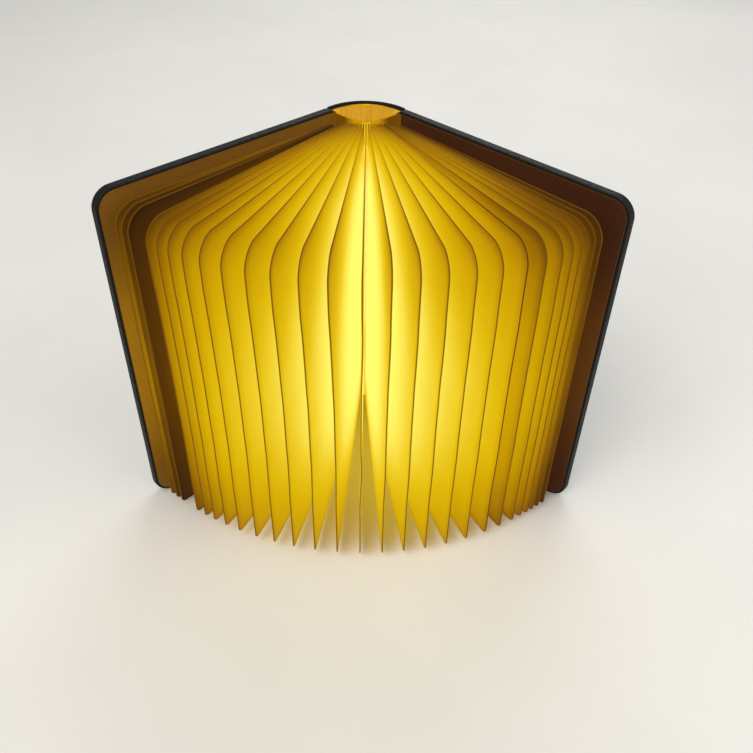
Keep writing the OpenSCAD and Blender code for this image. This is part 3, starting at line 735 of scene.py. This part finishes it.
def capPaint():
    # creases run from back to front; the tips are paler
    v = capValues
    paint = Paint("litCap", v["rough"], v["gloss"])
    x = paint.axes()[0]
    streaks = paint.noise(*v["streaks"], paint.stretched(v["streakStretch"]))
    fibres = paint.noise(*v["fibres"])
    glow = v["level"] + (streaks - 0.5) * v["streakShare"] + (fibres - 0.5) * v["fibreShare"]
    colour = paint.mix(glow.clamped(), linear(*v["dim"]), linear(*v["bright"]))
    tip = (abs(x) / mm).between(*v["tipSpan"])
    shineThrough(paint, v["share"], paint.mix(tip, colour, linear(*v["tip"])))
    paint.bump(streaks * v["streakRelief"] + fibres * (1 - v["streakRelief"]), *v["relief"])
    return paint


def makeCap(word, side, radius, centre, half, paint):
    # a sheet from the lining's arc to a front edge: a cubic curve + scallop * |sin(pi scallops t)| (1 - t);
    # it falls by drop * across * (1 - t), t from the middle to the tip, across from the back to the front
    v = capValues
    steps, t = v["acrossSteps"], np.linspace(0, 1, v["arcSteps"])
    back = arcPath(radius, centre, half, len(t))[0]
    front = np.array(v["front"], float)
    count = np.arange(len(front))
    front = np.stack([np.polyval(np.polyfit(count, axis, 3), t * count[-1]) for axis in front.T], 1)
    front[:, 0] -= front[0, 0]
    front[:, 1] += v["scallop"] * np.abs(np.sin(math.pi * v["scallops"] * t)) * (1 - t)
    front[-1] = back[-1]
    across = np.linspace(0, 1, steps)
    flat = back[:, None, :] * (1 - across[None, :, None]) + front[:, None, :] * across[None, :, None]
    loop = np.concatenate([flat, flat[:, ::-1]], 1)
    fall = v["drop"] * np.concatenate([across, across[::-1]]) * (1 - t[:, None])
    z = np.concatenate([np.full(steps, v["foot"]), np.full(steps, v["foot"] + v["thick"])]) - fall
    n, m = z.shape
    points = np.stack([side * loop[..., 0], loop[..., 1], z], -1).reshape(-1, 3)
    return makePiece(f"{word}Cap", points, [gridFaces(n, m, wrapped=True), np.arange(m)[None, :]], paint)


def makeTape(front, paint):
    # a flat upright web with round edges, from the spine board to the lining: x = half cos a, and
    # y = half sin a from the edge's centre at each end
    v = liningValues
    half, loop, steps = v["tapeHalf"], v["tapeLoop"], v["tapeSteps"]
    a = np.linspace(0, 2 * math.pi, loop, endpoint=False)
    x = half * np.cos(a)
    y = np.where(np.sin(a) > 0, front - half, v["tapeBack"] + half) + half * np.sin(a)
    z = np.linspace(v["tapeFoot"], v["tapeTop"], steps)
    points = np.stack([np.tile(x, steps), np.tile(y, steps), np.repeat(z, loop)], 1)
    tape = makePiece("spineTape", points, tubeFaces(steps, loop), paint)
    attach(tape, "spine_unit")


def makeSpine(lit, litCapPaint):
    # strip, lining and cap in two halves that curve from the middle out to the cover; the pleats are
    # ripple = depth cos(2 pi length / pleat)
    s, v = stripValues, liningValues
    cornerX, cornerY, r, centre, half = spineArc()
    liningR = r - s["thick"] - v["gap"]
    capR = liningR - v["thick"] - v["depth"] - capValues["room"]
    turn = np.array(v["turnIn"], float)
    along = np.gradient(turn, axis=0)
    turnOut = np.stack([-along[:, 1], along[:, 0]], 1) / np.hypot(*along.T)[:, None]
    path, out = arcPath(liningR, centre, half, v["arcSteps"])
    lengths = np.linspace(0, half, v["arcSteps"]) * liningR
    ripple = v["depth"] * np.cos(2 * math.pi * lengths / v["pleat"])
    stripPath, stripOut = arcPath(r, centre, half + (s["gap"] + s["lap"]) / r, s["arcSteps"])
    sheet = sheetLoop(-v["thick"], 0, v["foot"], v["top"], v["upSteps"])
    turnedSheet = sheetLoop(-v["turnHalf"], v["turnHalf"], v["foot"], v["top"], v["turnSteps"])
    for word, side in (("left", -1), ("right", 1)):
        strip = ribbon(f"{word}StripLeather", side, stripPath, stripOut, stripLoop(), leather)
        lining = ribbon(f"{word}Lining", side, path + out * ripple[:, None], out, sheet, lit)
        fold = ribbon(f"{word}LiningFold", side, turn, turnOut, turnedSheet, lit)
        # the cap carries painted lamp glow
        cap = makeCap(word, side, capR, centre, half, litCapPaint)
        cover, middle = f"{word}_cover", (0, cornerY * mm, 0)
        corner = (side * cornerX * mm, cornerY * mm, 0)
        liningEnd = (side * cornerX * liningR / r * mm, cornerY * mm, 0)
        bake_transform(strip)
        for piece in (lining, cap):
            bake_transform(piece)
        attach(fold, cover)
        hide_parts("spine_strip")
        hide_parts("spine_lining")
    makeTape(centre + liningR - v["thick"] / 2, lit)


litLining = liningPaint()
makeSpine(litLining, capPaint())
print("spine strip and its lit lining are on")

barValues = {
    "glow": (255, 238, 120), "dim": (252, 212, 62), "share": 0.95,
    # light spots behind the diffuser: height of the first and pitch in mm, and where they show
    "firstChip": 48.6, "chipPitch": 6.2, "rise": (36.0, 46.0), "fall": (99.0, 108.0), "spotShare": 0.25,
    "clouds": (120.0, 3.0), "cloudShare": 0.08, "grain": (1500.0, 2.0), "relief": (0.12, 0.0001),
    "rough": 0.38}


def barPaint():
    # glow = inside * (1 - spotShare + spotShare * (cos(2 pi (z - first) / pitch) + 1) / 2) + clouds
    v = barValues
    paint = Paint("milkyPlastic", v["rough"])
    z = paint.axes()[2] / mm
    spots = (((z - v["firstChip"]) / v["chipPitch"] * 2 * math.pi).cosine() + 1.0) * 0.5
    inside = z.between(*v["rise"]) * (1.0 - z.between(*v["fall"]))
    lit = inside * (1 - v["spotShare"]) + spots * inside * v["spotShare"]
    glow = lit + (paint.noise(*v["clouds"]) - 0.5) * v["cloudShare"]
    shineThrough(paint, v["share"], paint.mix(glow.clamped(), linear(*v["dim"]), linear(*v["glow"])))
    paint.bump(paint.noise(*v["grain"]), *v["relief"])
    return paint


plainValues = {"cloud": (4.0, 0.6), "span": (0.3, 0.7), "fine": (3.0, 0.6), "finer": 7.0,
               "roughLess": 0.06, "roughMore": 0.12, "depth": 0.0002}


def plainPaint(name, dark, light, rough, scale, bump=0.15, metallic=0.0, shine=0.0):
    # two close colours in clouds, and a fine uneven surface: roughness = rough - less + more * fine
    v = plainValues
    paint = Paint(name, rough, metallic=metallic)
    cloud = paint.noise(scale, *v["cloud"])
    fine = paint.noise(scale * v["finer"], *v["fine"])
    paint.feed("Base Color", paint.mix(cloud.between(*v["span"]), linear(*dark), linear(*light)))
    paint.feed("Roughness", rough - v["roughLess"] + fine * v["roughMore"])
    paint.shader.inputs["Emission Strength"].default_value = shine
    if shine:
        paint.feed("Emission Color", paint.mix(cloud, linear(*dark), linear(*light)))
    paint.bump(fine, bump, v["depth"])
    return paint


# nodes: name, two colours, roughness, cloud scale, bump, metallic, own light
finishesAndGlow = {
    ("bar_tray", "bar_diffuser", "bar_top_cap", "bar_foot_cap"): barPaint(),
    # the spine board takes the lining's painted lamp glow
    ("spine_board",): litLining,
    ("left_cover_board", "right_cover_board"):
        plainPaint("greyboard", (112, 102, 88), (140, 130, 114), 0.85, 420.0, 0.4),
    ("bar_screws", "socket_shell", "left_magnets", "right_magnets", "sensor_magnet"):
        plainPaint("brushedSteel", (168, 168, 172), (206, 206, 210), 0.32, 700.0, 0.08, 1.0),
    ("light_board",): plainPaint("whiteBoard", (226, 224, 214), (240, 238, 230), 0.45, 300.0, 0.06),
    ("light_chips",): plainPaint("warmChips", (255, 214, 84), (255, 240, 170), 0.35, 500.0, 0.05, 0.0, 0.9),
    ("lid_sensor", "charge_chip", "socket_core"):
        plainPaint("blackResin", (18, 18, 20), (34, 34, 36), 0.4, 900.0),
    ("light_leads",): plainPaint("redWire", (150, 18, 14), (186, 30, 22), 0.42, 500.0, 0.06),
    ("battery_leads",): plainPaint("whiteWire", (214, 212, 204), (236, 234, 226), 0.42, 500.0, 0.06),
    ("battery_cell",): plainPaint("silverFoil", (150, 152, 156), (206, 208, 212), 0.3, 260.0, 0.3, 0.85),
    ("charge_board",): plainPaint("greenBoard", (12, 74, 42), (20, 98, 56), 0.4, 380.0, 0.08),
    ("charge_lamp",): plainPaint("chargeLamp", (226, 30, 20), (255, 70, 50), 0.3, 600.0, 0.04, 0.0, 0.5)}
for nodes, paint in finishesAndGlow.items():
    for node in nodes:
        paintNode(node, paint)
print("light bar, boards and fasteners have their finishes")
